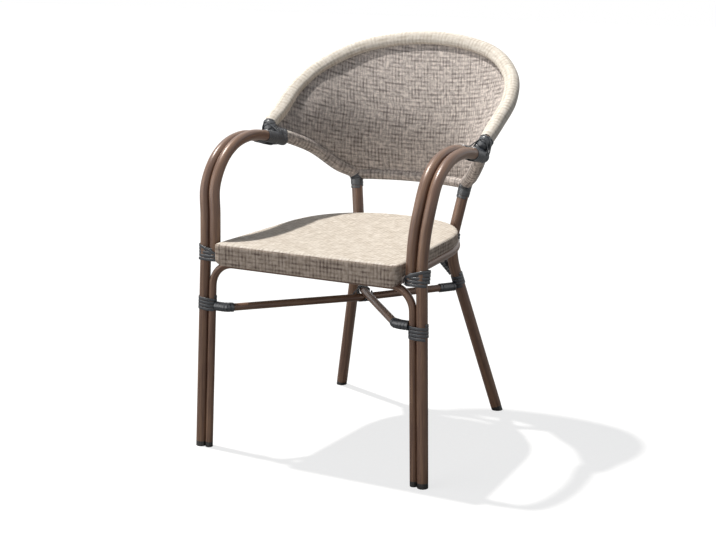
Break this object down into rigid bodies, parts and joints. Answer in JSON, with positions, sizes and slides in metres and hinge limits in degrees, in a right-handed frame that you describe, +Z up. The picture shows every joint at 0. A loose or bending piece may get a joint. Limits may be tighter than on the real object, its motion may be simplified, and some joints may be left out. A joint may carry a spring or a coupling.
{
  "type": "bistro armchair",
  "caption": "Stackable bistro armchair: bent tube frame with the look of rattan, barrel back and skirted seat of stretched sling fabric, and joints bound with flat strands.",
  "frame": {"origin": "the middle of the chair's footprint, on the floor", "axes": "+Z up, +Y from the front of the seat towards the back, +X to the right as seen from the front"},
  "size_m": [0.5598, 0.6076, 0.8561],
  "materials": {
    "tube": "satin, brown with darker cane marks",
    "sling": "open weave of cream and brown yarns",
    "strand": "flat strand, slight sheen",
    "glide": "matte",
    "screw": "brushed"
  },
  "bodies": {
    "root": {"arch_glide_left": "glide", "arch_glide_right": "glide", "arm_binding_left": "strand", "arm_binding_right": "strand", "back_corner_binding_left": "strand", "back_corner_binding_right": "strand", "back_frame": "tube", "back_glide_left": "glide", "back_glide_right": "glide", "back_leg_binding_left": "strand", "back_leg_binding_right": "strand", "back_sling": "sling", "brace_binding_left": "strand", "brace_binding_right": "strand", "crossing_binding": "strand", "front_arch": "tube", "front_glide_left": "glide", "front_glide_right": "glide", "front_leg_arm_left": "tube", "front_leg_arm_right": "tube", "front_lower_binding_left": "strand", "front_lower_binding_right": "strand", "front_upper_binding_left": "strand", "front_upper_binding_right": "strand", "inner_arm_left": "tube", "inner_arm_right": "tube", "lower_back_rail": "tube", "rear_brace": "tube", "seat_frame": "tube", "seat_front_bar": "tube", "seat_rail": "tube", "seat_rail_binding_left": "strand", "seat_rail_binding_right": "strand", "seat_screw_left_1": "screw", "seat_screw_left_2": "screw", "seat_screw_right_1": "screw", "seat_screw_right_2": "screw", "seat_skirt_bar": "tube", "seat_sling": "sling", "stretcher_back_binding_left": "strand", "stretcher_back_binding_right": "strand", "stretcher_front_binding_left": "strand", "stretcher_front_binding_right": "strand", "stretcher_left": "tube", "stretcher_right": "tube"}
  },
  "joints": []
}
